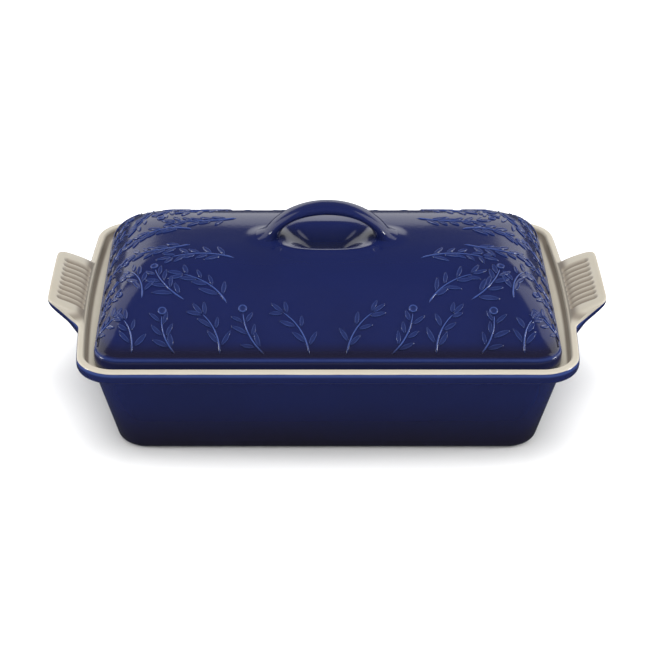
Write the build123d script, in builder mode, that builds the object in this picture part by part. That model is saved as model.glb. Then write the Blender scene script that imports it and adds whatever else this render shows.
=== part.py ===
from build123d import *
import os

# Covered rectangular casserole dish in glazed stoneware: a dish with two end
# tabs, and a loose domed lid with a loop handle. Millimetres. The table top is
# z = 0, X runs along the length, Y from front to back.

os.makedirs("parts", exist_ok=True)

# Overall sizes
overall_length = 375.0
overall_height = 138.5
rim_height = 70.5

# Dish rim and the collar that hangs below it
rim_half_x = 167.0
rim_half_y = 114.3
rim_corner = 24.0
rim_bow = 5.0
collar_drop = 9.0
collar_undercut = 3.2
rim_edge_round = 1.6

# Dish body: outer wall, inner wall, floor
body_top_half_x = 155.0
body_top_half_y = 105.3
wall_slope = 0.255
wall_slope_side = 0.25
body_corner = 22.0
wall_thickness = 7.0
floor_thickness = 7.5
foot_round = 5.0
floor_round = 12.0

# Ledge inside the rim that the lid rests on
ledge_drop = 6.5
ledge_z = rim_height - ledge_drop
gallery_half_x = 162.3
gallery_half_y = 108.0
gallery_draft = 2.4
gallery_corner = 19.0
gallery_bow = 5.0

# End tabs
tab_rise = 14.0
tab_tip_thickness = 6.0
tab_root_thickness = 8.0
tab_root_half_y = 62.0
# one side of the tab's outline, from its root on the rim to its tip
tab_edge = [
    (163.5, tab_root_half_y),
    (165.6, 54.0),
    (168.5, 49.6),
    (176.0, 45.2),
    (183.8, 41.2),
    (overall_length / 2, 32.0),
]
tab_border = 7.0
groove_count = 9
groove_pitch = 6.6
groove_radius = 3.4
groove_depth = 1.2

# Lid
rest_gap = 0.3
lid_half_x = 153.0
lid_half_y = 103.5
lid_corner = 18.0
lid_bow = 0.6
lid_bottom_z = ledge_z + rest_gap
lid_flange_top_z = rim_height + 3.0
lid_flange_round = 1.5

# Lid dome: height above the rim, half length, half width, corner radius
dome_outside = [
    (3.0, 151.3, 101.6, 17.0),
    (10.0, 148.0, 94.5, 20.0),
    (20.0, 143.0, 84.0, 23.0),
    (30.0, 135.5, 69.5, 25.0),
    (36.0, 126.5, 56.5, 26.0),
    (40.0, 110.0, 41.0, 24.0),
    (42.5, 80.0, 24.0, 16.0),
]
dome_inside = [
    (3.0, 145.5, 96.0, 12.0),
    (10.0, 141.5, 87.5, 15.0),
    (20.0, 135.5, 75.0, 18.0),
    (29.0, 126.0, 59.0, 20.0),
    (34.0, 108.0, 42.0, 18.0),
    (36.5, 76.0, 24.0, 14.0),
]
lid_mouth_half_x = 146.0
lid_mouth_half_y = 96.5
lid_mouth_corner = 12.0

# Loop handle, and the finger hollow below it
lid_top_z = rim_height + dome_outside[-1][0]
loop_radius = 54.0
loop_half_width = 9.0
loop_edge_round = 2.6
loop_opening_half_x = 31.0
loop_opening_half_z = 15.0
loop_thickness = 7.2
loop_root_z = lid_top_z - 7.5
hollow_half_x = 31.0
hollow_half_y = 24.0
hollow_floor_half_x = 22.0
hollow_floor_half_y = 15.0
hollow_depth = 8.5
hollow_shell = 6.0


def outline(half_x, half_y, corner, bow):
    """Rounded rectangle centred on the origin, its two ends bowed outwards."""
    corner_x = half_x - bow
    with BuildSketch() as shape:
        with BuildLine():
            Line((-corner_x, -half_y), (corner_x, -half_y))
            ThreePointArc((corner_x, -half_y), (half_x, 0), (corner_x, half_y))
            Line((corner_x, half_y), (-corner_x, half_y))
            ThreePointArc((-corner_x, half_y), (-half_x, 0), (-corner_x, -half_y))
        make_face()
        fillet(shape.vertices(), corner)
    return shape.sketch


# One end tab, drawn on the +X side: its plan cut from a slab that rises outwards
tip_x = overall_length / 2
tab_inner_x = rim_half_x - 8.0
tab_top_z = rim_height + tab_rise
groove_mid_x = tip_x - 13.0
groove_slope = 0.42
groove_mid_z = rim_height + 0.70 * tab_rise
groove_length = tip_x - tab_border - rim_half_x + 2.0
with BuildPart() as tab:
    with BuildSketch(Plane.XZ):
        with BuildLine():
            Polyline(
                (tab_inner_x, rim_height - 1.0),
                (tab_inner_x, rim_height - tab_root_thickness),
                (rim_half_x, rim_height - tab_root_thickness),
            )
            Spline(
                (rim_half_x, rim_height - tab_root_thickness),
                (tip_x, tab_top_z - tab_tip_thickness),
                tangents=[(1.0, 0.25), (1.0, 0.42)],
            )
            Line((tip_x, tab_top_z - tab_tip_thickness), (tip_x, tab_top_z))
            Spline(
                (tip_x, tab_top_z),
                (tip_x - 12.5, rim_height + 0.72 * tab_rise),
                (rim_half_x - 1.0, rim_height + 0.34 * tab_rise),
                (gallery_half_x, rim_height),
                tangents=[(-1.0, -0.16), (-0.5, -1.0)],
            )
            Line((gallery_half_x, rim_height), (tab_inner_x, rim_height - 1.0))
        make_face()
    extrude(amount=tab_root_half_y, both=True)
    with BuildSketch():
        with BuildLine():
            back_edge = Spline(*tab_edge, tangents=[(0.0, -1.0), (0.0, -1.0)])
            Line(tab_edge[-1], (tab_edge[-1][0], -tab_edge[-1][1]))
            mirror(back_edge, about=Plane.XZ)
            Polyline(
                (tab_edge[0][0], -tab_root_half_y),
                (tab_inner_x, -tab_root_half_y),
                (tab_inner_x, tab_root_half_y),
                tab_edge[0],
            )
        make_face()
    extrude(amount=2 * rim_height, mode=Mode.INTERSECT)
    # scooped grooves across the grip
    for groove in range(groove_count):
        groove_y = (groove - (groove_count - 1) / 2) * groove_pitch
        groove_centre = (groove_mid_x, groove_y, groove_mid_z + groove_radius - groove_depth)
        with Locations(Plane(origin=groove_centre, z_dir=(1.0, 0.0, groove_slope))):
            Cylinder(groove_radius, groove_length, mode=Mode.SUBTRACT)

# Dish
collar_z = rim_height - collar_drop
foot_half_x = body_top_half_x - wall_slope * collar_z
foot_half_y = body_top_half_y - wall_slope_side * collar_z
cavity_top_half_x = body_top_half_x - wall_thickness + wall_slope * (ledge_z - collar_z)
cavity_top_half_y = body_top_half_y - wall_thickness + wall_slope_side * (ledge_z - collar_z)
cavity_drop = ledge_z - floor_thickness
with BuildPart() as dish:
    with BuildSketch(Plane.XY):
        add(outline(foot_half_x, foot_half_y, body_corner, 0.8))
    with BuildSketch(Plane.XY.offset(collar_z)):
        add(outline(body_top_half_x, body_top_half_y, body_corner, 1.2))
    loft(ruled=True)
    fillet(dish.edges().group_by(Axis.Z)[0], foot_round)

    # collar and rim
    with BuildSketch(Plane.XY.offset(collar_z)):
        add(outline(rim_half_x - collar_undercut, rim_half_y - collar_undercut, rim_corner, rim_bow))
    with BuildSketch(Plane.XY.offset(collar_z + collar_drop / 2)):
        add(outline(rim_half_x, rim_half_y, rim_corner, rim_bow))
    loft(ruled=True)
    with BuildSketch(Plane.XY.offset(collar_z + collar_drop / 2)):
        add(outline(rim_half_x, rim_half_y, rim_corner, rim_bow))
    extrude(amount=collar_drop / 2)
    fillet(dish.edges().group_by(Axis.Z)[-1], rim_edge_round)

    # end tabs
    add(tab.part)
    add(mirror(tab.part, about=Plane.YZ, mode=Mode.PRIVATE))

    # hollow of the dish, then the gallery above the ledge
    with BuildPart(mode=Mode.PRIVATE) as cavity:
        with BuildSketch(Plane.XY.offset(floor_thickness)):
            add(
                outline(
                    cavity_top_half_x - wall_slope * cavity_drop,
                    cavity_top_half_y - wall_slope_side * cavity_drop,
                    body_corner - wall_thickness / 2,
                    0.8,
                )
            )
        with BuildSketch(Plane.XY.offset(ledge_z)):
            add(outline(cavity_top_half_x, cavity_top_half_y, body_corner - wall_thickness / 2, 1.2))
        loft(ruled=True)
        fillet(cavity.edges().group_by(Axis.Z)[0], floor_round)
        with BuildSketch(Plane.XY.offset(ledge_z)):
            add(outline(cavity_top_half_x, cavity_top_half_y, body_corner - wall_thickness / 2, 1.2))
        extrude(amount=1.0)
    add(cavity.part, mode=Mode.SUBTRACT)
    with BuildSketch(Plane.XY.offset(ledge_z)):
        add(
            outline(
                gallery_half_x - gallery_draft,
                gallery_half_y - gallery_draft,
                gallery_corner,
                gallery_bow,
            )
        )
    with BuildSketch(Plane.XY.offset(rim_height + 1.5)):
        add(outline(gallery_half_x, gallery_half_y, gallery_corner, gallery_bow))
    loft(ruled=True, mode=Mode.SUBTRACT)

dish.part.label = "dish"
export_step(dish.part, "parts/dish.step")

# Lid: domed shell with an upright flange, a loop handle and a finger hollow
with BuildPart() as dome_hollow:
    with BuildSketch(Plane.XY.offset(lid_bottom_z - 1.0)):
        add(outline(lid_mouth_half_x, lid_mouth_half_y, lid_mouth_corner, lid_bow))
    with BuildSketch(Plane.XY.offset(rim_height + dome_inside[0][0])):
        add(outline(*dome_inside[0][1:], lid_bow))
    loft(ruled=True)
    for height, half_x, half_y, corner in dome_inside:
        with BuildSketch(Plane.XY.offset(rim_height + height)):
            add(outline(half_x, half_y, corner, lid_bow))
    loft()

with BuildPart() as loop:
    with BuildSketch(Plane.XZ):
        with Locations((0, overall_height - loop_radius)):
            Circle(loop_radius)
        with Locations((0, loop_root_z - loop_radius)):
            Rectangle(4 * loop_radius, 2 * loop_radius, mode=Mode.SUBTRACT)
        with Locations((0, overall_height - loop_thickness - loop_opening_half_z)):
            Ellipse(loop_opening_half_x, loop_opening_half_z, mode=Mode.SUBTRACT)
        with Locations((0, overall_height - loop_thickness - 2 * loop_opening_half_z)):
            Rectangle(2 * loop_opening_half_x, 2 * loop_opening_half_z, mode=Mode.SUBTRACT)
    extrude(amount=loop_half_width, both=True)
    side_faces = loop.faces().sort_by(Axis.Y)
    loop_rims = side_faces[0].edges() + side_faces[-1].edges()
    fillet(loop_rims.filter_by_position(Axis.Z, loop_root_z + 0.1, overall_height), loop_edge_round)

with BuildPart() as lid:
    with BuildSketch(Plane.XY.offset(lid_bottom_z)):
        add(outline(lid_half_x, lid_half_y, lid_corner, lid_bow))
    extrude(amount=lid_flange_top_z - lid_bottom_z)
    fillet(lid.edges().group_by(Axis.Z)[-1], lid_flange_round)
    for height, half_x, half_y, corner in dome_outside:
        with BuildSketch(Plane.XY.offset(rim_height + height)):
            add(outline(half_x, half_y, corner, lid_bow))
    loft()
    add(dome_hollow.part, mode=Mode.SUBTRACT)
    # thickened pad behind the finger hollow
    with BuildSketch(Plane.XY.offset(lid_top_z - hollow_depth - hollow_shell)):
        Ellipse(hollow_half_x + hollow_shell - 2.0, hollow_half_y + hollow_shell - 2.0)
    extrude(amount=hollow_depth + hollow_shell - 2.0)
    add(loop.part)
    with BuildSketch(Plane.XY.offset(lid_top_z - hollow_depth)):
        Ellipse(hollow_floor_half_x, hollow_floor_half_y)
    with BuildSketch(Plane.XY.offset(lid_top_z + 0.5)):
        Ellipse(hollow_half_x, hollow_half_y)
    loft(mode=Mode.SUBTRACT)

lid.part.label = "lid"
export_step(lid.part, "parts/lid.step")
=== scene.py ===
"""Covered rectangular casserole dish in glazed stoneware, built as a Blender add-on that runs as a script."""

import math

import bpy
import numpy as np
from bpy.props import FloatProperty, FloatVectorProperty, IntProperty, PointerProperty
from bpy.types import Operator, Panel, PropertyGroup
from mathutils import Matrix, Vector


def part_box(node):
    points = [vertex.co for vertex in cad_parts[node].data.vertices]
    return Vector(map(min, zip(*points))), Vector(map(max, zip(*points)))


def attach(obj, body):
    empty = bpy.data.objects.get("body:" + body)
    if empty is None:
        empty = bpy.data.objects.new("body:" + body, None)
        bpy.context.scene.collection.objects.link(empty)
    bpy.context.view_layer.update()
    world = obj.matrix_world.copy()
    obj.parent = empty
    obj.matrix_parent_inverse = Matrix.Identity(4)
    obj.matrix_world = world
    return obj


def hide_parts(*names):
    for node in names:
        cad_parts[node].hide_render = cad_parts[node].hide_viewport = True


bl_info = {
    "name": "Covered Casserole Dish",
    "version": (1, 0, 0),
    "blender": (4, 5, 0),
    "location": "3D View > Sidebar > Casserole",
    "description": "Builds a glazed stoneware casserole dish with a relief lid",
    "category": "Object",
}

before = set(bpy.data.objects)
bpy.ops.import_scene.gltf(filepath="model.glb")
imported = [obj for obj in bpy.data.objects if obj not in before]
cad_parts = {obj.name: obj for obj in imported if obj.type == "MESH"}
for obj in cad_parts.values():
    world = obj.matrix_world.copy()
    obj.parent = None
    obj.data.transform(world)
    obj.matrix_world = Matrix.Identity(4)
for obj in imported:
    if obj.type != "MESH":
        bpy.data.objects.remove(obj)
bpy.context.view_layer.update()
DISH_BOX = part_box("dish")
LID_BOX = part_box("lid")

MM = 0.001

# Heights in millimetres above the table
DISH_TOP = DISH_BOX[1][2] / MM
LID_TOP = LID_BOX[1][2] / MM
LID_FOOT = LID_BOX[0][2] / MM
TAB_RISE = 14.0
RIM_Z = DISH_TOP - TAB_RISE
COLLAR_Z = RIM_Z - 9.0
LEDGE_Z = RIM_Z - 6.5
FLOOR_Z = 7.5

# Plan stations in millimetres: half length, half width, corner radius, bow of the ends
RIM = np.array([167.0, 114.3, 24.0, 5.0])
GALLERY = np.array([162.3, 108.0, 19.0, 5.0])
BODY = np.array([155.0, 105.3, 22.0, 1.2])
CAVITY = np.array([148.8, 98.9, 18.5, 1.2])
END_SLOPE = 0.255
SIDE_SLOPE = 0.25

# Lid dome in millimetres
DOME_FOOT_Z = RIM_Z + 3.0
DOME_TOP_Z = RIM_Z + 42.9
LID_EDGE = np.array([153.0, 103.5, 18.0, 0.6])
DOME_FOOT = np.array([151.3, 101.6, 17.0, 0.6])
LID_MOUTH = np.array([146.0, 96.5, 12.0, 0.6])


def smooth(edge0, edge1, value):
    """Cubic step: 0 at edge0, 1 at edge1, with flat ends; edge0 may be the larger one."""
    t = np.clip((value - edge0) / (edge1 - edge0), 0.0, 1.0)
    return t * t * (3.0 - 2.0 * t)


def bend(start, corner, end, count):
    """Points of a quadratic curve from start to end that leans towards corner."""
    t = np.linspace(0.0, 1.0, count)[:, None]
    start, corner, end = (np.asarray(p, float) for p in (start, corner, end))
    return (1 - t) ** 2 * start + 2 * t * (1 - t) * corner + t**2 * end


# ---------------------------------------------------------------- ring surfaces


def ring_frame(end_steps, corner_steps, side_steps):
    """Directions of one rounded rectangular ring, anticlockwise from the middle of a front corner.

    Each point is an inner rectangle's point (kx, ky) plus the corner radius times a unit direction
    (cx, cy): on an end kx is 1 and ky runs, on a corner both are 1 and the direction turns, on a
    side kx runs. The second half of the ring is the first half turned by half a turn.
    """
    low = np.radians(np.linspace(-45.0, 0.0, corner_steps + 1))[:-1]
    high = np.radians(np.linspace(0.0, 45.0, corner_steps + 1))[:-1]
    one = np.ones(corner_steps)
    ends, sides = end_steps[:-1], side_steps[:-1]
    kx = np.concatenate([one, np.ones_like(ends), one, one, -sides, -one])
    ky = np.concatenate([-one, ends, one, one, np.ones_like(sides), one])
    turn = np.concatenate(
        [
            low,
            np.zeros_like(ends),
            high,
            high + math.pi / 4,
            np.full_like(sides, math.pi / 2),
            high + math.pi / 2,
        ]
    )
    half = np.stack([kx, ky, np.cos(turn), np.sin(turn)])
    counts = (2 * corner_steps + len(ends), 2 * corner_steps + len(sides))
    return np.concatenate([half, -half], axis=1), counts


def ring_points(frame_lines, stations):
    """Plan of rings (m, n): inner rectangle + radius x direction, ends drawn in by bow x (y / width)^2."""
    kx, ky, cx, cy = frame_lines
    half_x, half_y, corner, bow = (stations[:, i, None] for i in range(4))
    y = ky * (half_y - corner) + cy * corner
    x = kx * (half_x - corner) + cx * corner
    return x - bow * kx * (y / np.maximum(half_y, 1e-6)) ** 2, y


def patch_grid(ring, counts):
    """Fills a closed ring with a Coons patch: opposite edges blended, less their bilinear corners."""
    ny, nx = counts
    n = len(ring)
    south = (2 * ny + nx + np.arange(nx + 1)) % n
    north = ny + nx - np.arange(nx + 1)
    east = np.arange(ny + 1)
    west = 2 * ny + nx - np.arange(ny + 1)
    u = np.linspace(0, 1, nx + 1)[:, None, None]
    v = np.linspace(0, 1, ny + 1)[None, :, None]
    s, t = ring[south][:, None], ring[north][:, None]
    w, e = ring[west][None], ring[east][None]
    corners = (
        (1 - u) * (1 - v) * ring[south[0]]
        + u * (1 - v) * ring[south[-1]]
        + (1 - u) * v * ring[north[0]]
        + u * v * ring[north[-1]]
    )
    points = (1 - v) * s + v * t + (1 - u) * w + u * e - corners
    index = np.full((nx + 1, ny + 1), -1)
    index[:, 0], index[:, -1] = south, north
    index[-1, :], index[0, :] = east, west
    return points[1:-1, 1:-1], index


def grid_quads(index, closed=False):
    """Quads of an index grid; with closed the last column joins the first."""
    if closed:
        index = np.concatenate([index, index[:, :1]], axis=1)
    return np.stack([index[:-1, :-1], index[:-1, 1:], index[1:, 1:], index[1:, :-1]], axis=-1).reshape(-1, 4)


def closed_shell(rings, counts, heights=(None, None)):
    """Vertices and quads of stacked rings (m, n, 3) closed at both ends by patches.

    heights may give, for the first and last patch, a function of plan x and y for its z.
    """
    m, n = rings.shape[:2]
    vertices = [rings.reshape(-1, 3)]
    quads = [grid_quads(np.arange(m * n).reshape(m, n), closed=True)]
    total = m * n
    for row, height, last in ((0, heights[0], False), (m - 1, heights[1], True)):
        inner, index = patch_grid(rings[row], counts)
        if height:
            inner[..., 2] = height(inner[..., 0], inner[..., 1])
        index = np.where(index >= 0, index + row * n, -1)
        index[1:-1, 1:-1] = total + np.arange(inner.shape[0] * inner.shape[1]).reshape(inner.shape[:2])
        total += inner.shape[0] * inner.shape[1]
        vertices.append(inner.reshape(-1, 3))
        face = grid_quads(index)
        quads.append(face[:, ::-1] if last else face)
    return np.concatenate(vertices), np.concatenate(quads)


def make_piece(name, vertices, quads, body, material, layers=None):
    """Makes a mesh object from arrays in millimetres; it rides on body and takes its finish from material."""
    mesh = bpy.data.meshes.new(name)
    mesh.vertices.add(len(vertices))
    mesh.vertices.foreach_set("co", (np.asarray(vertices, np.float32) * MM).ravel())
    mesh.loops.add(quads.size)
    mesh.loops.foreach_set("vertex_index", quads.astype(np.int32).ravel())
    mesh.polygons.add(len(quads))
    mesh.polygons.foreach_set("loop_start", np.arange(0, quads.size, 4, dtype=np.int32))
    mesh.polygons.foreach_set("use_smooth", np.ones(len(quads), bool))
    mesh.update(calc_edges=True)
    for layer, values in (layers or {}).items():
        attribute = mesh.attributes.new(layer, "FLOAT", "POINT")
        attribute.data.foreach_set("value", np.asarray(values, np.float32).ravel())
    if mesh.validate():
        raise RuntimeError(f"{name}: the mesh had faulty faces")
    mesh.materials.append(material)
    piece = bpy.data.objects.new(name, mesh)
    bpy.context.scene.collection.objects.link(piece)
    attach(piece, body)
    return piece


# ---------------------------------------------------------------- shader maths


class Value:
    """A socket of a node tree on which ordinary Python operators add Math nodes."""

    def __init__(self, maker, socket):
        self.maker = maker
        self.socket = socket

    def _math(self, operation, *terms):
        return self.maker.node("ShaderNodeMath", {"operation": operation}, {i: t for i, t in enumerate(terms)})

    def __add__(self, other):
        return self._math("ADD", self, other)

    __radd__ = __add__

    def __mul__(self, other):
        return self._math("MULTIPLY", self, other)

    __rmul__ = __mul__

    def __sub__(self, other):
        return self._math("SUBTRACT", self, other)

    def __rsub__(self, other):
        return self._math("SUBTRACT", other, self)

    def __truediv__(self, other):
        return self._math("DIVIDE", self, other)

    def step(self, low, high):
        """Smooth ramp from 0 at low to 1 at high."""
        settings = {"interpolation_type": "SMOOTHSTEP"}
        return self.maker.node("ShaderNodeMapRange", settings, {"Value": self, "From Min": low, "From Max": high})


class Glaze:
    """Makes the nodes of one material."""

    def __init__(self, name):
        self.material = bpy.data.materials.new(name)
        self.material.use_nodes = True
        self.tree = self.material.node_tree
        self.shader = self.tree.nodes["Principled BSDF"]

    def node(self, kind, settings=None, inputs=None, output=0):
        """Adds one node: its settings first, then the values or links of its sockets."""
        added = self.tree.nodes.new(kind)
        for key, setting in (settings or {}).items():
            setattr(added, key, setting)
        for key, given in (inputs or {}).items():
            if isinstance(given, Value):
                self.tree.links.new(given.socket, added.inputs[key])
            else:
                added.inputs[key].default_value = given
        return Value(self, added.outputs[output])

    def set(self, **sockets):
        """Sets or links sockets of the surface shader, named with _ for spaces."""
        for key, given in sockets.items():
            socket = self.shader.inputs[key.replace("_", " ")]
            if isinstance(given, Value):
                self.tree.links.new(given.socket, socket)
            else:
                socket.default_value = given

    def place(self):
        return self.node("ShaderNodeTexCoord", output="Object")

    def height(self):
        """Height above the table in metres."""
        return self.node("ShaderNodeSeparateXYZ", inputs={0: self.place()}, output="Z")

    def layer(self, name):
        return self.node("ShaderNodeAttribute", {"attribute_name": name}, output="Fac")

    def noise(self, scale, detail=2.0, roughness=0.5, place=None):
        inputs = {"Vector": place or self.place(), "Scale": scale, "Detail": detail, "Roughness": roughness}
        return self.node("ShaderNodeTexNoise", inputs=inputs)

    def spots(self, scale, place=None):
        """Distance to the nearest point of a scattered set."""
        return self.node("ShaderNodeTexVoronoi", inputs={"Vector": place or self.place(), "Scale": scale})

    def mix(self, factor, first, second):
        settings = {"data_type": "RGBA"}
        return self.node("ShaderNodeMix", settings, {0: factor, 6: first, 7: second}, output=2)

    def bump(self, height, strength, distance):
        return self.node("ShaderNodeBump", inputs={"Height": height, "Strength": strength, "Distance": distance})


def colour(prop):
    """Colour property as a four-part socket value."""
    return (*prop, 1.0)


def navy_colour(glaze, looks, thin):
    """Navy glaze: darker towards the foot, clouded by noise, paler where it runs thin off an edge."""
    clouds = glaze.noise(16.0, 3.0, 0.55)
    fall = glaze.height().step(0.000, 0.048)
    base = glaze.mix(fall, colour(looks.navy_foot_and_shade_band), colour(looks.navy))
    base = glaze.mix(clouds.step(0.35, 0.75) * 0.3, base, colour(looks.navy_pool))
    return glaze.mix(thin, base, colour(looks.navy_edge))


def cream_colour(glaze, looks):
    """Cream glaze: faint warm clouds and a few pale brown specks of the clay below."""
    clouds = glaze.noise(22.0, 4.0, 0.6).step(0.3, 0.8)
    specks = 1.0 - glaze.spots(420.0).step(0.05, 0.14)
    rare = glaze.noise(90.0, 1.0).step(0.56, 0.66)
    base = glaze.mix(clouds * 0.55, colour(looks.cream), colour(looks.cream_warm))
    return glaze.mix(specks * rare * 0.35, base, colour(looks.clay))


def dish_material(looks):
    """Both glazes of the dish, meeting along the line where the layer glaze_line is zero."""
    glaze = Glaze("dish_two_tone_glaze")
    waver = (glaze.noise(55.0, 2.0) - 0.5) * 0.5
    line = glaze.layer("glaze_line") + waver
    inside = line.step(-0.12, 0.12)
    near = 1.0 - (line + 0.55).step(0.0, 0.7)
    thin = (1.0 - near) * 0.2 + glaze.layer("thin") * 0.4
    navy = navy_colour(glaze, looks, thin)
    # Painted shade: the cream is darkened where shade falls, on the gallery wall, the tabs' steep slopes and in the
    # grooves.
    cream = glaze.mix(glaze.layer("deep") * 0.75, cream_colour(glaze, looks), colour(looks.cream_deep))
    both = glaze.mix(inside, navy, cream)
    bare = glaze.layer("bare")
    both = glaze.mix(bare, both, colour(looks.clay))
    skin = glaze.noise(260.0, 2.0) * 0.6 + glaze.noise(38.0, 1.0) * 0.4
    rough = 0.13 + inside * 0.09 + bare * 0.45 + glaze.noise(70.0, 2.0) * 0.05
    glaze.set(
        Base_Color=both,
        Roughness=rough,
        Normal=glaze.bump(skin, 0.10, 0.0006),
        Coat_Weight=0.0,
        IOR=1.52,
    )
    return glaze.material


def lid_material(looks):
    """Navy glaze of the lid: paler on raised lines and edges, with a painted shade band just above the flange, cream
    below.
    """
    glaze = Glaze("lid_relief_glaze")
    thin = glaze.layer("thin")
    mottled = thin * (0.75 + glaze.noise(180.0, 3.0, 0.6) * 0.5)
    navy = navy_colour(glaze, looks, mottled)
    # Painted shade: a darker band painted on the dome just above the flange, standing in for a dark reflection there.
    painted_shade_band = (1.0 - glaze.height().step(0.0755, 0.0835)) * glaze.height().step(0.0738, 0.0752)
    navy = glaze.mix(painted_shade_band * 0.9, navy, colour(looks.navy_foot_and_shade_band))
    below = glaze.layer("below")
    both = glaze.mix(below, navy, cream_colour(glaze, looks))
    skin = glaze.noise(260.0, 2.0) * 0.6 + glaze.noise(38.0, 1.0) * 0.4
    rough = 0.12 + below * 0.12 + glaze.noise(70.0, 2.0) * 0.05
    glaze.set(
        Base_Color=both,
        Roughness=rough,
        Normal=glaze.bump(skin, 0.10, 0.0006),
        Coat_Weight=0.0,
        IOR=1.52,
    )
    return glaze.material


# ---------------------------------------------------------------- dish


def tab_reach(y, sizes):
    """How far a tab stands out past the rim at y: a plateau with logistic shoulders."""
    length = sizes.tab_length / MM + RIM[3] * (y / RIM[1]) ** 2 * 0.6
    return length / (1.0 + np.exp((np.abs(y) - sizes.tab_half_width / MM) / 1.9))


def tab_lift(x, y, root, power, sizes):
    """Rise of the tab above the rim: a power of the way from root to tip, fading at the tab's two sides."""
    tip = RIM[0] + sizes.tab_length / MM
    way = np.clip((np.abs(x) - root) / (tip - root), 0.0, 1.0)
    side = 1.0 - (1.0 - tab_reach(y, sizes) / tab_reach(0.0, sizes)) ** 2
    return TAB_RISE * way**power * np.clip(side, 0.0, 1.0)


def grip_grooves(x, y, sizes):
    """Depth of the scooped grooves across the tab's top: rounded scoops with narrow ridges between."""
    pitch = sizes.groove_pitch / MM
    half_band = sizes.groove_count * pitch / 2
    phase = np.mod(y / pitch + sizes.groove_count / 2, 1.0) - 0.5
    scoop = 1.0 - np.abs(2 * phase) ** 2.4
    tip = RIM[0] + sizes.tab_length / MM
    outer = 1.0 - smooth(tip - 7.2, tip - 5.2, np.abs(x) + 7.0 * phase**2)
    inner = smooth(RIM[0] - 3.2, RIM[0] - 1.4, np.abs(x))
    across = (np.abs(y) < half_band).astype(float)
    return sizes.groove_depth / MM * scoop * outer * inner * across


def dish_rows():
    """Profile of the dish from under the foot, up the wall, over the rim and down to the floor.

    Each row is half length, half width, corner, bow, z, then reach (how much of the tab's length it
    follows), under (how far down the collar it lies), bare (unglazed clay) and deep (painted
    shade on the cream where shade falls).
    """
    rows = []

    def add(station, grow, z, reach=0.0, under=0.0, bare=0.0, deep=0.0, tighten=1.0):
        row = np.array(station, float)
        row[:2] += grow
        row[2] = max(row[2] + tighten * np.mean(grow), 3.0)
        rows.append([*row, z, reach, under, bare, deep])

    def lean(top, z):
        return -np.array([END_SLOPE, SIDE_SLOPE]) * (top - z)

    def curve(station, start, corner, end, count, **marks):
        for point in bend(*[np.r_[np.broadcast_to(g, 2), z] for g, z in (start, corner, end)], count):
            add(station, point[:2], point[2], **marks)

    foot = lean(COLLAR_Z, 0.0)
    for inset, z in ((24.0, 1.4), (13.0, 1.4), (11.0, 1.2), (10.0, 0.5), (9.2, 0.1), (8.4, 0.0), (5.6, 0.0)):
        add(BODY, foot - inset, z, bare=1.0, tighten=0.35)
    wall = {"tighten": 0.25}
    curve(BODY, (foot - 4.2, 0.0), (foot + 0.2, 0.0), (lean(COLLAR_Z, 6.5), 6.5), 9, **wall)
    for z in np.linspace(12.0, 54.0, 9):
        add(BODY, lean(COLLAR_Z, z), z, **wall)
    curve(BODY, (lean(COLLAR_Z, 56.5), 56.5), (lean(COLLAR_Z, 61.0), COLLAR_Z - 0.2), (3.6, COLLAR_Z + 0.1), 6)
    collar_root = BODY + np.array([3.6, 3.6, 0.0, 0.0])
    for part in np.linspace(0.15, 1.0, 9):
        station = collar_root + (RIM - np.array([3.2, 3.2, 0, 0]) - collar_root) * part
        add(station, 0.0, COLLAR_Z + 0.1, reach=part, under=1.0)
    for grow, z in bend((-2.6, COLLAR_Z + 0.15), (-0.3, COLLAR_Z + 0.5), (0.0, COLLAR_Z + 4.0), 6):
        add(RIM, grow, z, reach=1.0, under=(RIM_Z - z) / 9.0)
    add(RIM, 0.0, COLLAR_Z + 5.6, reach=1.0, under=0.38)
    for grow, z in bend((0.0, RIM_Z - 2.4), (0.0, RIM_Z), (-2.1, RIM_Z), 8):
        add(RIM, grow, z, reach=1.0, under=(RIM_Z - z) / 9.0)
    edge = RIM - np.array([2.1, 2.1, 2.1, 0.0])
    inner = GALLERY + np.array([0.9, 0.9, 0.9, 0.0])
    for part in np.linspace(0.0, 1.0, 44)[1:]:
        add(edge + (inner - edge) * part, 0.0, RIM_Z, reach=1.0 - part)
    # Painted shade: the rounding into the gallery and the gallery wall are darkened where the lid shades them.
    curve(GALLERY, (0.9, RIM_Z), (-0.05, RIM_Z), (-0.35, RIM_Z - 1.3), 5, deep=0.25)
    for grow, z in bend((-0.6, RIM_Z - 2.2), (-2.0, LEDGE_Z), (-4.6, LEDGE_Z), 8):
        add(GALLERY, grow, z, deep=1.0 - float(smooth(LEDGE_Z + 1.2, LEDGE_Z + 0.2, z)))
    curve(CAVITY, (2.2, LEDGE_Z), (0.0, LEDGE_Z), (-0.6, LEDGE_Z - 2.2), 5)
    for z in np.linspace(54.0, 22.0, 7):
        add(CAVITY, lean(LEDGE_Z, z), z, **wall)
    base = lean(LEDGE_Z, FLOOR_Z)
    curve(CAVITY, (lean(LEDGE_Z, 19.0), 19.0), (base, FLOOR_Z), (base - 13.0, FLOOR_Z), 9, **wall)
    add(CAVITY, base - 18.0, FLOOR_Z, **wall)
    return np.array(rows)


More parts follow.
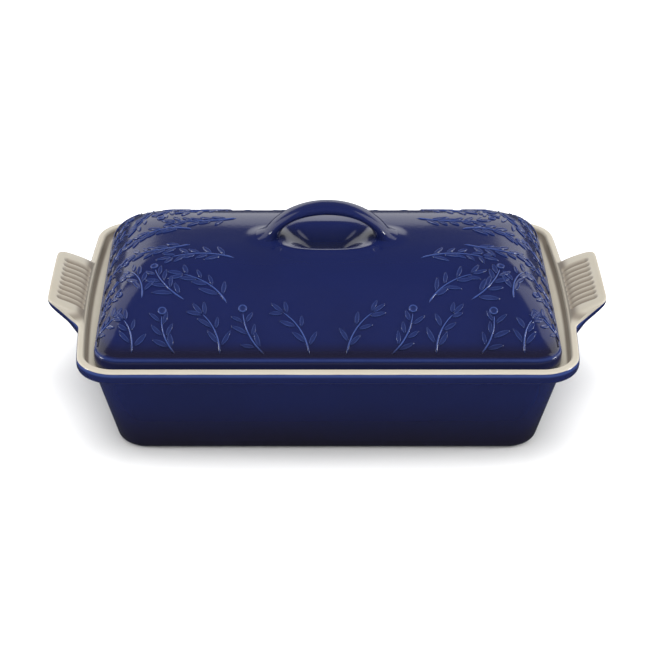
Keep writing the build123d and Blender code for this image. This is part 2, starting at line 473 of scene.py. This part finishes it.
def dish_shape(sizes):
    """Vertices, quads and layers of the dish: the rows' rings, drawn out into the tabs at both ends."""
    dense = np.linspace(-0.56, 0.56, 161)
    end_steps = np.concatenate([np.linspace(-1, -0.56, 11)[:-1], dense, np.linspace(0.56, 1, 11)[1:]])
    lines, counts = ring_frame(end_steps, 8, np.linspace(-1, 1, 57))
    rows = dish_rows()
    x, y = ring_points(lines, rows[:, :4])
    columns = x.shape[1]
    level, reach, under, bare, deep = (np.repeat(rows[:, i, None], columns, axis=1) for i in range(4, 9))
    end = (np.abs(lines[0]) > 0.999).astype(float)
    out = tab_reach(y, sizes) * end
    x = x + np.sign(lines[0]) * reach * out
    top_root = GALLERY[0] + 0.9 - GALLERY[3] * (y / GALLERY[1]) ** 2
    top_lift = tab_lift(x, y, top_root, 0.55, sizes)
    low_lift = tab_lift(x, y, 158.0, 1.2, sizes)
    lift = (top_lift + (low_lift - top_lift) * np.clip(under, 0, 1)) * end * (reach > 0)
    tab_thin = smooth(0.0, 9.0, out) * smooth(0.4, 1.0, reach)
    on_top = (reach > 0) & (under <= 0)
    grooves = grip_grooves(x, y, sizes) * on_top * end
    z = level + lift + under * tab_thin * (9.0 - sizes.tab_thickness / MM) - grooves
    first_top = int(np.argmax(on_top[:, 0]))
    before = np.arange(len(rows))[:, None] < first_top
    line = level - (RIM_Z - 0.8 - 1.6 * tab_thin)
    line = np.where(before, np.where(reach > 0.99, line, -5.0), 5.0)
    thin = np.exp(-(((level - (RIM_Z - 1.9)) / 0.9) ** 2)) * (reach > 0.99)
    # Painted shade on the tab's steep rise from the rim, and painted shade in the grip grooves.
    shaded_slope = smooth(0.5, 3.5, top_lift) * (1.0 - smooth(4.0, 7.0, top_lift)) * on_top
    deep = np.maximum(deep, np.maximum(0.8 * shaded_slope, 0.5 * grooves))
    vertices, quads = closed_shell(np.stack([x, y, z], axis=-1), counts)
    spare = len(vertices) - line.size
    first_patch = (counts[0] - 1) * (counts[1] - 1)
    under_foot = np.arange(spare) < first_patch
    layers = {
        "glaze_line": np.concatenate([line.ravel(), np.where(under_foot, -5.0, 5.0)]),
        "thin": np.concatenate([thin.ravel(), np.zeros(spare)]),
        "deep": np.concatenate([deep.ravel(), np.zeros(spare)]),
        "bare": np.concatenate([bare.ravel(), under_foot.astype(float)]),
    }
    return vertices, quads, layers


# ---------------------------------------------------------------- lid


def dome_station(level):
    """Plan of the dome at a level from 0 at its foot to 1 at its top.

    The half width falls as (1 - level)^0.35 and the half length as (1 - level^1.25)^0.12, so the
    ends stand steep and the long sides lean back; corners grow rounder and then close up.
    """
    level = np.clip(level, 0.0, 1.0)
    half_x = DOME_FOOT[0] * (1.0 - level**1.25) ** 0.12
    half_y = DOME_FOOT[1] * (1.0 - level) ** 0.35
    corner = ((DOME_FOOT[2] + 8.0 * level) ** -4.0 + (0.9 * half_y + 1e-6) ** -4.0) ** -0.25
    return np.stack([half_x, half_y, corner, np.full_like(half_x, DOME_FOOT[3])], axis=-1)


def dome_height(x, y):
    """Height of the plain dome over a plan point, by halving the range of levels on 40 steps.

    A point lies outside a level's rounded rectangle when its signed distance is positive.
    """
    low, high = np.zeros(np.shape(x)), np.ones(np.shape(x))
    for _ in range(40):
        middle = (low + high) / 2
        station = dome_station(middle)
        half_x, half_y, corner = station[..., 0], station[..., 1], station[..., 2]
        dx = np.abs(x) + DOME_FOOT[3] * (y / half_y) ** 2 - half_x + corner
        dy = np.abs(y) - half_y + corner
        outside = np.hypot(np.maximum(dx, 0), np.maximum(dy, 0)) + np.minimum(np.maximum(dx, dy), 0) > corner
        high = np.where(outside, middle, high)
        low = np.where(outside, low, middle)
    return DOME_FOOT_Z + (DOME_TOP_Z - DOME_FOOT_Z) * (low + high) / 2


HOLLOW_POWER = 2.8
LIP_HEIGHT = 2.4
LIP_PLACE = 1.26
LIP_WIDTH = 0.23


def top_details(x, y, sizes):
    """Added to the dome near the middle: the finger hollow, its rolled lip and the swell round the loop's feet."""
    half_x, half_y = sizes.hollow_length / MM / 2, sizes.hollow_width / MM / 2
    reach_y = np.where(y < 0, half_y * 0.72, half_y * 0.9)
    away = np.abs(x / (half_x * 0.92)) ** HOLLOW_POWER + np.abs(y / reach_y) ** HOLLOW_POWER
    away = away ** (1 / HOLLOW_POWER)
    hollow = -sizes.hollow_depth / MM * (1.0 - smooth(0.30, 1.0, away))
    lip = LIP_HEIGHT * smooth(4.0, -14.0, y) * np.exp(-(((away - LIP_PLACE) / LIP_WIDTH) ** 2))
    foot_x = np.abs(x) - 39.0
    foot = np.sqrt((foot_x / 13.0) ** 2 + (y / 14.0) ** 2)
    swell = 2.4 * (1.0 - smooth(0.3, 1.35, foot))
    return hollow + lip * (1.0 - smooth(29.0, 36.0, np.abs(x))) + swell


def lid_height(x, y, sizes):
    """Outer surface of the lid above a plan point."""
    return dome_height(x, y) + top_details(x, y, sizes)


def lid_shape(sizes):
    """Vertices, quads and layers of the lid's shell: underside, mouth, flange, rolled edge and dome."""
    side = np.linspace(-1, 1, 171)
    side = 0.55 * side + 0.45 * side**3
    lines, counts = ring_frame(np.linspace(-1, 1, 71), 8, side)
    rows = []

    def add(station, offset, z, thin=0.0, below=0.0):
        row = np.array(station, float)
        row[:2] += offset
        row[2] = max(row[2] + offset, 3.0)
        rows.append([*row, z, thin, below])

    shell = 6.0
    inner_levels = np.linspace(0.93, 0.02, 16)
    for level, station in zip(inner_levels, dome_station(inner_levels)):
        lean = shell * (0.55 + 0.45 * (1 - level))
        z = DOME_FOOT_Z + (DOME_TOP_Z - DOME_FOOT_Z) * level - shell * 0.9 * level
        add(station - np.array([lean, lean, min(lean, station[2] - 5.0), 0.0]), 0.0, z, below=1.0)
    for offset, z in bend((0.0, DOME_FOOT_Z - 3.0), (0.1, LID_FOOT), (2.0, LID_FOOT), 5):
        add(LID_MOUTH, offset, z, below=1.0)
    for offset, z in bend((-2.6, LID_FOOT), (0.0, LID_FOOT), (0.0, LID_FOOT + 2.2), 5):
        add(LID_EDGE, offset, z, below=0.0)
    add(LID_EDGE, 0.0, LID_FOOT + 4.5)
    for offset, z in bend((0.0, DOME_FOOT_Z - 2.2), (0.0, DOME_FOOT_Z + 0.4), (-1.5, DOME_FOOT_Z + 0.5), 7):
        add(LID_EDGE, offset, z, thin=float(smooth(DOME_FOOT_Z - 1.2, DOME_FOOT_Z + 0.2, z)) * 0.14)
    widths = np.linspace(DOME_FOOT[1] - 0.6, 36.0, 46)
    levels = 1.0 - (widths / DOME_FOOT[1]) ** (1 / 0.35)
    for level, station in zip(levels, dome_station(levels)):
        add(station, 0.0, DOME_FOOT_Z + (DOME_TOP_Z - DOME_FOOT_Z) * level)
    rows = np.array(rows)
    x, y = ring_points(lines, rows[:, :4])
    z = np.repeat(rows[:, 4, None], x.shape[1], axis=1)
    outer = np.arange(len(rows)) >= len(rows) - len(levels)
    z[outer] += top_details(x[outer], y[outer], sizes)
    rings = np.stack([x, y, z], axis=-1)
    inner_top = rows[0, 4]

    def underside(px, py):
        pad = 5.0 * (1.0 - smooth(0.6, 1.2, np.sqrt((px / 36.0) ** 2 + (py / 29.0) ** 2)))
        rise = 2.2 * (1.0 - smooth(0.0, 1.0, np.sqrt((px / 105.0) ** 2 + (py / 34.0) ** 2)))
        return inner_top + rise - pad

    vertices, quads = closed_shell(rings, counts, (underside, lambda px, py: lid_height(px, py, sizes)))
    spare = len(vertices) - x.size
    first_patch = (counts[0] - 1) * (counts[1] - 1)
    tail = np.concatenate([np.ones(first_patch), np.zeros(spare - first_patch)])
    n = x.shape[1]
    layers = {
        "thin": np.concatenate([np.repeat(rows[:, 5], n), np.zeros(spare)]),
        "below": np.concatenate([np.repeat(rows[:, 6], n), tail]),
    }
    return vertices, quads, layers


def loop_shape(sizes):
    """The loop handle: a rounded strap carried along an arch, thicker and wider towards its two feet.

    Both edges of the arch in the XZ plane are given at each step: the outer one is a circle that
    flares out at the feet, the inner one an ellipse that runs straight down. The section between
    them is a superellipse whose width grows near the feet.
    """
    top = LID_TOP
    radius = sizes.loop_radius / MM
    turn = np.linspace(-1.0, 1.0, 97)
    foot_z = DOME_TOP_Z - 3.0
    outer_centre = top - radius
    outer_limit = math.acos((foot_z - outer_centre) / radius)
    angle = turn * outer_limit
    flare = 9.0 * smooth(0.80, 1.0, np.abs(turn)) ** 1.6
    outer = np.stack([radius * np.sin(angle) + np.sign(turn) * flare, outer_centre + radius * np.cos(angle)], 1)
    half_x, half_z = sizes.loop_opening / MM / 2, 15.0
    inner_centre = top - sizes.loop_thickness / MM - half_z
    run = inner_centre - foot_z
    quarter = math.pi / 2 * 24.0
    along = np.abs(turn) * (quarter + run)
    around = np.minimum(along / quarter, 1.0) * math.pi / 2
    inner_z = inner_centre + half_z * np.cos(around) - np.maximum(along - quarter, 0.0)
    inner = np.stack([np.sign(turn) * half_x * np.sin(around), inner_z], 1)
    centre = (outer + inner) / 2
    radial = (outer - inner) / 2
    half_width = sizes.loop_width / MM / 2 + 1.2 * turn**2 + 3.5 * smooth(0.8, 1.0, np.abs(turn)) ** 2
    psi = np.linspace(0, 2 * math.pi, 41)[:-1]
    power = 2.0 / 2.15
    across = np.sign(np.cos(psi)) * np.abs(np.cos(psi)) ** power
    aside = np.sign(np.sin(psi)) * np.abs(np.sin(psi)) ** power
    x = centre[:, 0, None] + radial[:, 0, None] * across
    z = centre[:, 1, None] + radial[:, 1, None] * across
    y = half_width[:, None] * aside
    return np.stack([x, y, z], axis=-1)


def tubes(points):
    """Vertices and quads of many tubes at once, from rings (tubes, m, n, 3) with n even.

    Neighbouring rings are joined by quads, and each end ring is closed by rungs between its two halves.
    """
    count, m, n = points.shape[:3]
    index = np.arange(m * n).reshape(m, n)
    quads = [grid_quads(index, closed=True)]
    for row, last in ((0, False), (m - 1, True)):
        ladder = np.stack([index[row, : n // 2], index[row, ::-1][: n // 2]], axis=1)
        cap = grid_quads(ladder)
        quads.append(cap[:, ::-1] if last else cap)
    quads = np.concatenate(quads)
    steps = np.arange(count)[:, None, None] * (m * n)
    return points.reshape(-1, 3), (quads[None] + steps).reshape(-1, 4)


# ---------------------------------------------------------------- relief


SLOPE_STEP = 0.04
NEWTON_STEPS = 4


class Chart:
    """Lays flat lengths over the dome: p along the lid and q across it, both in millimetres of surface.

    Arc lengths are summed along the two middle profiles and read backwards to give plan x and y.
    """

    def __init__(self):
        self.x = np.linspace(0.0, DOME_FOOT[0] - 0.05, 4000)
        self.y = np.linspace(0.0, DOME_FOOT[1] - 0.05, 4000)
        self.p = self._lengths(self.x, dome_height(self.x, np.zeros_like(self.x)))
        self.q = self._lengths(self.y, dome_height(np.zeros_like(self.y), self.y))

    @staticmethod
    def _lengths(run, rise):
        return np.concatenate([[0.0], np.cumsum(np.hypot(np.diff(run), np.diff(rise)))])

    def points(self, p, q):
        x = np.sign(p) * np.interp(np.abs(p), self.p, self.x)
        y = np.sign(q) * np.interp(np.abs(q), self.q, self.y)
        return onto_dome(np.stack([x, y, dome_height(x, y)], axis=-1))[0]


def dome_normal(x, y):
    """Gradient and unit normal of the plain dome, from central differences of its height."""
    slope_x = (dome_height(x + SLOPE_STEP, y) - dome_height(x - SLOPE_STEP, y)) / (2 * SLOPE_STEP)
    slope_y = (dome_height(x, y + SLOPE_STEP) - dome_height(x, y - SLOPE_STEP)) / (2 * SLOPE_STEP)
    gradient = np.stack([-slope_x, -slope_y, np.ones_like(slope_x)], axis=-1)
    return gradient, gradient / np.linalg.norm(gradient, axis=-1, keepdims=True)


def onto_dome(points):
    """Moves points to the dome along its normal in a few Newton steps; gives points and normals."""
    for _ in range(NEWTON_STEPS):
        high = dome_height(points[..., 0], points[..., 1])
        gradient, _unit = dome_normal(points[..., 0], points[..., 1])
        miss = (points[..., 2] - high)[..., None]
        points = points - miss * gradient / np.sum(gradient**2, axis=-1, keepdims=True)
    _gradient, unit = dome_normal(points[..., 0], points[..., 1])
    return points, unit


def quadratic(start, lean, end, t):
    """Points of quadratic curves (curves, 2) at parameters t (curves, steps)."""
    start, lean, end = start[:, None], lean[:, None], end[:, None]
    t = t[..., None]
    return (1 - t) ** 2 * start + 2 * t * (1 - t) * lean + t**2 * end


# Rows of sprigs in one quarter of the lid. Each row has a number of evenly spaced sprigs, then pairs of
# values for its first and last sprig: start (p, q), heading in degrees and length; then the pairs of
# leaves on a sprig, the length of a leaf and the radius of the berry on every other tip.
SPRIG_ROWS = (
    (5, (12, -110), (128, -109), (60, 75), (34, 26), 3, 12, 3.0),
    (3, (66, -73), (122, -68), (40, 72), (38, 34), 4, 13, 2.8),
    (2, (62, -31), (92, -12), (4, 0), (42, 38), 5, 12, 0.0),
    (4, (168, -82), (168, -14), (172, 184), (24, 28), 3, 10, 2.4),
)
SPRIG_BEND = 0.20


def relief_plan():
    """All stems (count, 9): start, lean, end, leaf pairs, leaf length, berry; mirrored to the four quarters.

    A sprig is an arc: its lean point stands off the middle of its chord by a fifth of its length, to one
    side and the other in turn.
    """
    rows = []
    for count, first, last, headings, lengths, pairs, leaf, berry in SPRIG_ROWS:
        step = np.linspace(0.0, 1.0, count)[:, None]
        turn = np.where(np.arange(count) % 2 == 0, 1.0, -1.0)[:, None]
        start = np.array(first) * (1 - step) + np.array(last) * step
        heading = np.radians(headings[0] * (1 - step) + headings[1] * step)
        length = lengths[0] * (1 - step) + lengths[1] * step
        ahead = np.concatenate([np.cos(heading), np.sin(heading)], axis=1)
        aside = np.concatenate([-np.sin(heading), np.cos(heading)], axis=1)
        lean = start + length * (0.5 * ahead + SPRIG_BEND * turn * aside)
        tips = np.where(turn < 0, berry, 0.0)
        rest = np.concatenate([np.full((count, 1), pairs), np.full((count, 1), leaf), tips], axis=1)
        rows.append(np.concatenate([start, lean, start + length * ahead, rest], axis=1))
    quarter = np.concatenate(rows)
    mirrored = []
    for along, over in ((1, 1), (-1, 1), (1, -1), (-1, -1)):
        part = quarter.copy()
        part[:, 0:6:2] *= along
        part[:, 1:6:2] *= over
        mirrored.append(part)
    return np.concatenate(mirrored)


def relief_stems(chart, stems, sizes):
    """Rings of the stems: half-round ridges that narrow towards the tip, sunk a little below the glaze."""
    steps = 40
    t = np.tile(np.linspace(0.0, 1.0, steps), (len(stems), 1))
    flat = quadratic(stems[:, 0:2], stems[:, 2:4], stems[:, 4:6], t)
    centre, normal = onto_dome(chart.points(flat[..., 0], flat[..., 1]))
    along = np.gradient(centre, axis=1)
    along /= np.linalg.norm(along, axis=-1, keepdims=True)
    aside = np.cross(normal, along)
    taper = (1.0 - 0.45 * t) * np.clip(np.minimum(t, 1 - t) * 14 + 0.12, 0, 1)
    half = sizes.stem_width / MM / 2 * taper
    across = np.array([-1.0, -0.72, -0.3, 0.3, 0.72, 1.0, 0.5, -0.5])
    rise = np.array([-0.12, 0.5, 0.95, 0.95, 0.5, -0.12, -0.6, -0.6])
    rings = centre[..., None, :] + aside[..., None, :] * (half[..., None] * across)[..., None]
    height = sizes.relief_height / MM * rise * taper[..., None]
    rings = rings + normal[..., None, :] * height[..., None]
    thin = np.broadcast_to(np.clip(rise, 0, 1), rings.shape[:3]) * 0.5
    return rings, thin, centre, along, normal


def relief_leaves(stems, centre, along, normal, sizes, rng):
    """Rings of the leaves: lens shapes with a raised border, set in pairs along the stems.

    A leaf starts beside its stem, leans away by 35 to 55 degrees and curves back a little; its
    half width is a sine of the way along it, and its section is low in the middle, high at both borders.
    """
    base, heading, up, length = [], [], [], []
    for number, stem in enumerate(stems):
        pairs, size, berry = int(stem[6]), stem[7], stem[8]
        place = np.repeat(np.linspace(0.16, 0.92, pairs), 2)
        side = np.tile([-1.0, 1.0], pairs)
        place = place * (0.82 if berry else 1.0)
        place = np.clip(place + side * 0.03 + rng.uniform(-0.015, 0.015, 2 * pairs), 0, 0.97)
        turn = np.radians(rng.uniform(24, 44, 2 * pairs)) * side
        scale = rng.uniform(0.8, 1.12, 2 * pairs) * (1.0 - 0.25 * place)
        if berry == 0:
            place, turn = np.append(place, 0.99), np.append(turn, 0.0)
            scale = np.append(scale, 0.85)
        spot = np.round(place * (centre.shape[1] - 1)).astype(int)
        t, n = along[number, spot], normal[number, spot]
        b = np.cross(n, t)
        direction = t * np.cos(turn)[:, None] + b * np.sin(turn)[:, None]
        gap = np.where(turn == 0, 0.4, 2.2)
        base.append(centre[number, spot] + direction * gap[:, None])
        heading.append(direction)
        up.append(n)
        length.append(size * scale)
    base, heading, up = (np.concatenate(v) for v in (base, heading, up))
    length = np.concatenate(length)
    count = len(length)
    aside = np.cross(up, heading)
    way = np.linspace(0.0, 1.0, 11)[None, :]
    curve = rng.uniform(-0.16, 0.16, count)[:, None]
    forward = length[:, None] * (way + 0 * curve)
    drift = length[:, None] * curve * way**2
    half = sizes.leaf_width / MM / 2 * (length[:, None] / 15.0) ** 0.5
    half = half * np.maximum(np.sin(math.pi * way**0.9) ** 0.8, 0.07) * rng.uniform(0.85, 1.15, count)[:, None]
    across = np.array([-1.0, -0.84, -0.62, 0.0, 0.62, 0.84, 1.0, 0.5, 0.0, -0.5])
    rise = np.array([-0.15, 0.85, 0.75, 0.35, 0.75, 0.85, -0.15, -0.7, -0.7, -0.7])
    tone = np.array([0.0, 0.34, 0.10, 0.06, 0.10, 0.34, 0.0, 0.0, 0.0, 0.0])
    flat = base[:, None, :] + heading[:, None, :] * forward[..., None] + aside[:, None, :] * drift[..., None]
    rings = flat[:, :, None, :] + aside[:, None, None, :] * (half[..., None] * across)[..., None]
    surface, unit = onto_dome(rings)
    ends = np.clip(np.minimum(way, 1 - way) * 9 + 0.25, 0, 1)[..., None]
    height = sizes.relief_height / MM * rise * ends
    rings = surface + unit * height[..., None]
    return rings, np.broadcast_to(tone, rings.shape[:3])


def relief_berries(stems, centre, along, normal, sizes):
    """Rings of the berries: low round buttons with a raised rim and a dimpled middle."""
    chosen = stems[:, 8] > 0
    radius = stems[chosen, 8]
    tip, direction, up = centre[chosen, -1], along[chosen, -1], normal[chosen, -1]
    aside = np.cross(up, direction)
    middle = tip + direction * radius[:, None] * 1.15
    angle = np.linspace(0, 2 * math.pi, 17)[:-1]
    reach = np.array([0.9, 1.0, 0.97, 0.86, 0.70, 0.56, 0.30])
    rise = np.array([-0.7, -0.1, 0.7, 1.0, 0.95, 0.45, 0.40])
    tone = np.array([0.0, 0.05, 0.28, 0.38, 0.28, 0.08, 0.06])
    spread = radius[:, None, None] * reach[None, :, None]
    rings = (
        middle[:, None, None, :]
        + aside[:, None, None, :] * (spread * np.sin(angle))[..., None]
        + direction[:, None, None, :] * (spread * np.cos(angle))[..., None]
    )
    surface, unit = onto_dome(rings)
    rings = surface + unit * (sizes.relief_height / MM * rise)[None, :, None, None]
    return rings, np.broadcast_to(tone[None, :, None], rings.shape[:3])


# ---------------------------------------------------------------- settings


class DishSizes(PropertyGroup):
    tab_length: FloatProperty(
        name="Tab length",
        description="How far each end tab stands out past the rim",
        default=DISH_BOX[1][0] - RIM[0] * MM,
        unit="LENGTH",
    )
    tab_half_width: FloatProperty(
        name="Tab half width", description="Half the width of a tab at its shoulders", default=0.0420, unit="LENGTH"
    )
    tab_thickness: FloatProperty(
        name="Tab thickness", description="Thickness at the tab's edge", default=0.0046, unit="LENGTH"
    )
    groove_count: IntProperty(name="Grooves", description="Grooves across each tab", default=9)
    groove_pitch: FloatProperty(
        name="Groove pitch", description="Distance between grooves", default=0.0069, unit="LENGTH"
    )
    groove_depth: FloatProperty(
        name="Groove depth", description="Depth of a groove", default=0.0020, unit="LENGTH"
    )


class LidSizes(PropertyGroup):
    hollow_length: FloatProperty(
        name="Hollow length", description="Length of the finger hollow", default=0.064, unit="LENGTH"
    )
    hollow_width: FloatProperty(
        name="Hollow width", description="Width of the finger hollow", default=0.055, unit="LENGTH"
    )
    hollow_depth: FloatProperty(
        name="Hollow depth", description="Depth of the finger hollow", default=0.0085, unit="LENGTH"
    )
    loop_radius: FloatProperty(
        name="Loop radius", description="Outer radius of the loop handle", default=0.054, unit="LENGTH"
    )
    loop_opening: FloatProperty(
        name="Loop opening", description="Clear width inside the loop", default=0.062, unit="LENGTH"
    )
    loop_thickness: FloatProperty(
        name="Loop thickness", description="Thickness of the loop at its top", default=0.0074, unit="LENGTH"
    )
    loop_width: FloatProperty(
        name="Loop width", description="Width of the loop's strap", default=0.018, unit="LENGTH"
    )


class ReliefSizes(PropertyGroup):
    leaf_width: FloatProperty(
        name="Leaf width", description="Width of a leaf of middling length", default=0.0040, unit="LENGTH"
    )
    stem_width: FloatProperty(
        name="Stem width", description="Width of a stem where it starts", default=0.0017, unit="LENGTH"
    )
    relief_height: FloatProperty(
        name="Relief height", description="Height of the raised lines", default=0.0009, unit="LENGTH"
    )
    seed: IntProperty(name="Seed", description="Seed of the small variations of the leaves", default=7)


def glaze_colour(name, text, value):
    """A colour setting of the glazes, linear values."""
    return FloatVectorProperty(name=name, description=text, default=value, subtype="COLOR", size=3, min=0, max=1)


class GlazeLooks(PropertyGroup):
    navy: glaze_colour("Navy", "Main outside glaze", (0.0070, 0.0111, 0.059))
    navy_pool: glaze_colour("Navy pool", "Outside glaze where it lies thick", (0.0066, 0.0088, 0.038))
    # Also the colour of the painted shade band above the lid's flange.
    navy_foot_and_shade_band: glaze_colour("Navy foot", "Outside glaze low on the wall", (0.0085, 0.0072, 0.0175))
    navy_edge: glaze_colour("Navy edge", "Outside glaze where it runs thin", (0.070, 0.120, 0.37))
    cream: glaze_colour("Cream", "Inside glaze", (0.435, 0.402, 0.336))
    cream_warm: glaze_colour("Warm cream", "Clouds in the inside glaze", (0.41, 0.36, 0.285))
    # Dark colour of the painted shade on the gallery wall, tab slopes and grooves.
    cream_deep: glaze_colour("Deep cream", "Inside glaze where it lies thick", (0.115, 0.086, 0.064))
    clay: glaze_colour("Clay", "Bare clay of the foot ring", (0.42, 0.31, 0.20))


class StageSettings(PropertyGroup):
    floor: glaze_colour("Floor", "Colour of the floor", (0.95, 0.95, 0.95))
    key_power: FloatProperty(name="Top light", description="Power of the large top light", default=92.0, unit="POWER")
    front_power: FloatProperty(
        name="Front light", description="Power of the soft front light", default=24.0, unit="POWER"
    )
    back_power: FloatProperty(name="Back light", description="Power of the low back light", default=6.0, unit="POWER")
    side_power: FloatProperty(name="Side lights", description="Power of each side light", default=6.6, unit="POWER")
    strip_power: FloatProperty(name="Strips", description="Power of each small side light", default=5.0, unit="POWER")


# ---------------------------------------------------------------- operators


class CASSEROLE_OT_dish(Operator):
    """Make the dish with its collar, ledge and grooved end tabs"""

    bl_idname = "casserole.dish"
    bl_label = "Dish"

    def execute(self, context):
        scene = context.scene
        vertices, quads, layers = dish_shape(scene.casserole_dish)
        material = dish_material(scene.casserole_looks)
        piece = make_piece("stoneware_dish", vertices, quads, "dish", material, layers)
        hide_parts("dish")
        return {"FINISHED"}


class CASSEROLE_OT_lid(Operator):
    """Make the domed lid with its flange and finger hollow"""

    bl_idname = "casserole.lid"
    bl_label = "Lid"

    def execute(self, context):
        scene = context.scene
        vertices, quads, layers = lid_shape(scene.casserole_lid)
        material = lid_material(scene.casserole_looks)
        piece = make_piece("lid_dome", vertices, quads, "lid", material, layers)
        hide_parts("lid")
        return {"FINISHED"}


class CASSEROLE_OT_loop(Operator):
    """Make the loop handle on the lid"""

    bl_idname = "casserole.loop"
    bl_label = "Loop handle"

    def execute(self, context):
        scene = context.scene
        vertices, quads = tubes(loop_shape(scene.casserole_lid)[None])
        material = bpy.data.materials["lid_relief_glaze"]
        layers = {"thin": np.zeros(len(vertices)), "below": np.zeros(len(vertices))}
        make_piece("lid_loop", vertices, quads, "lid", material, layers)
        return {"FINISHED"}


class CASSEROLE_OT_relief(Operator):
    """Make the raised stems, leaves and berries on the lid"""

    bl_idname = "casserole.relief"
    bl_label = "Lid relief"

    def execute(self, context):
        sizes = context.scene.casserole_relief
        rng = np.random.default_rng(sizes.seed)
        stems = relief_plan()
        rings, thin, centre, along, normal = relief_stems(Chart(), stems, sizes)
        shapes = {
            "lid_stems": (rings, thin),
            "lid_leaves": relief_leaves(stems, centre, along, normal, sizes, rng),
            "lid_berries": relief_berries(stems, centre, along, normal, sizes),
        }
        material = bpy.data.materials["lid_relief_glaze"]
        for name, (rings, tone) in shapes.items():
            vertices, quads = tubes(rings)
            layers = {"thin": tone, "below": np.zeros(len(vertices))}
            make_piece(name, vertices, quads, "lid", material, layers)
        return {"FINISHED"}


def area_light(name, power, size, place, target, shade=(1.0, 1.0, 1.0)):
    """A rectangular light at place, facing target."""
    lamp = bpy.data.lights.new(name, "AREA")
    lamp.shape = "RECTANGLE"
    lamp.size, lamp.size_y = size
    lamp.energy = power
    lamp.color = shade
    holder = bpy.data.objects.new(name, lamp)
    direction = Matrix.Translation(place).to_translation() - Matrix.Translation(target).to_translation()
    holder.matrix_world = Matrix.Translation(place) @ direction.to_track_quat("Z", "Y").to_matrix().to_4x4()
    bpy.context.scene.collection.objects.link(holder)
    return holder


class CASSEROLE_OT_stage(Operator):
    """Make the floor, the soft lights and the camera"""

    bl_idname = "casserole.stage"
    bl_label = "Stage"

    def execute(self, context):
        scene = context.scene
        stage = scene.casserole_stage
        floor = bpy.data.meshes.new("floor")
        corners = np.array([[-4, -4, 0], [4, -4, 0], [4, 4, 0], [-4, 4, 0]], float)
        floor.from_pydata(corners.tolist(), [], [[0, 1, 2, 3]])
        paper = Glaze("floor_paper")
        paper.set(Base_Color=colour(stage.floor), Roughness=0.9, Specular_IOR_Level=0.1)
        floor.materials.append(paper.material)
        floor_piece = bpy.data.objects.new("floor", floor)
        scene.collection.objects.link(floor_piece)

        fills = (
            area_light("top_light", stage.key_power, (2.6, 2.6), (0.0, -0.3, 2.4), (0.0, -0.3, 0.0)),
            area_light("front_light", stage.front_power, (2.6, 1.0), (0.0, -2.2, 1.1), (0.0, 0.0, 0.0)),
        )
        for piece in (*fills, floor_piece):
            piece.visible_glossy = False
        area_light("back_light", stage.back_power, (3.2, 0.72), (0.0, 1.7, 0.38), (0.0, 0.0, 0.10))
        for side, name, share in ((-1, "left", 1.0), (1, "right", 1.2)):
            place = (side * 1.45, 0.72, 0.85)
            area_light(f"{name}_light", stage.side_power * share, (1.3, 1.6), place, (0.0, 0.0, 0.10))
            place = (side * 1.2, -0.11, 0.40)
            area_light(f"{name}_strip", stage.strip_power * share, (0.30, 0.30), place, (0.0, 0.0, 0.08))
        world = bpy.data.worlds.new("studio")
        world.use_nodes = True
        world.node_tree.nodes["Background"].inputs["Color"].default_value = (0.9, 0.93, 1.0, 1.0)
        world.node_tree.nodes["Background"].inputs["Strength"].default_value = 0.08
        scene.world = world

        camera = bpy.data.cameras.new("camera")
        camera.sensor_width = CAMERA_SENSOR
        camera.lens = CAMERA_LENS
        camera.shift_x = CAMERA_SHIFT
        camera.clip_end = 20.0
        holder = bpy.data.objects.new("camera", camera)
        turn = Matrix.Rotation(math.radians(90.0 - CAMERA_PITCH), 4, "X")
        holder.matrix_world = Matrix.Translation(CAMERA_PLACE) @ turn
        scene.collection.objects.link(holder)
        scene.camera = holder
        scene.view_settings.view_transform = "Standard"
        return {"FINISHED"}


CAMERA_SENSOR = 36.0
CAMERA_LENS = 124.6
CAMERA_PITCH = 28.0
CAMERA_SHIFT = 0.032
CAMERA_PLACE = (-0.0154, -1.3725, 0.775)


class CASSEROLE_PT_panel(Panel):
    """Sidebar panel that lists the pieces and their settings"""

    bl_label = "Covered casserole"
    bl_idname = "CASSEROLE_PT_panel"
    bl_space_type = "VIEW_3D"
    bl_region_type = "UI"
    bl_category = "Casserole"

    def draw(self, context):
        layout = self.layout
        for step in STEPS:
            layout.operator(step.bl_idname)
        for name in SETTINGS:
            group = getattr(context.scene, name)
            box = layout.box()
            for prop in group.__annotations__:
                box.prop(group, prop)


STEPS = (CASSEROLE_OT_dish, CASSEROLE_OT_lid, CASSEROLE_OT_loop, CASSEROLE_OT_relief, CASSEROLE_OT_stage)
SETTINGS = {
    "casserole_dish": DishSizes,
    "casserole_lid": LidSizes,
    "casserole_relief": ReliefSizes,
    "casserole_looks": GlazeLooks,
    "casserole_stage": StageSettings,
}


def register():
    for kind in (*SETTINGS.values(), *STEPS, CASSEROLE_PT_panel):
        bpy.utils.register_class(kind)
    for name, kind in SETTINGS.items():
        setattr(bpy.types.Scene, name, PointerProperty(type=kind))


def unregister():
    for name in SETTINGS:
        delattr(bpy.types.Scene, name)
    for kind in (CASSEROLE_PT_panel, *reversed(STEPS), *reversed(list(SETTINGS.values()))):
        bpy.utils.unregister_class(kind)


def main():
    register()
    for step in STEPS:
        group, name = step.bl_idname.split(".")
        getattr(getattr(bpy.ops, group), name)()


if __name__ == "__main__":
    main()
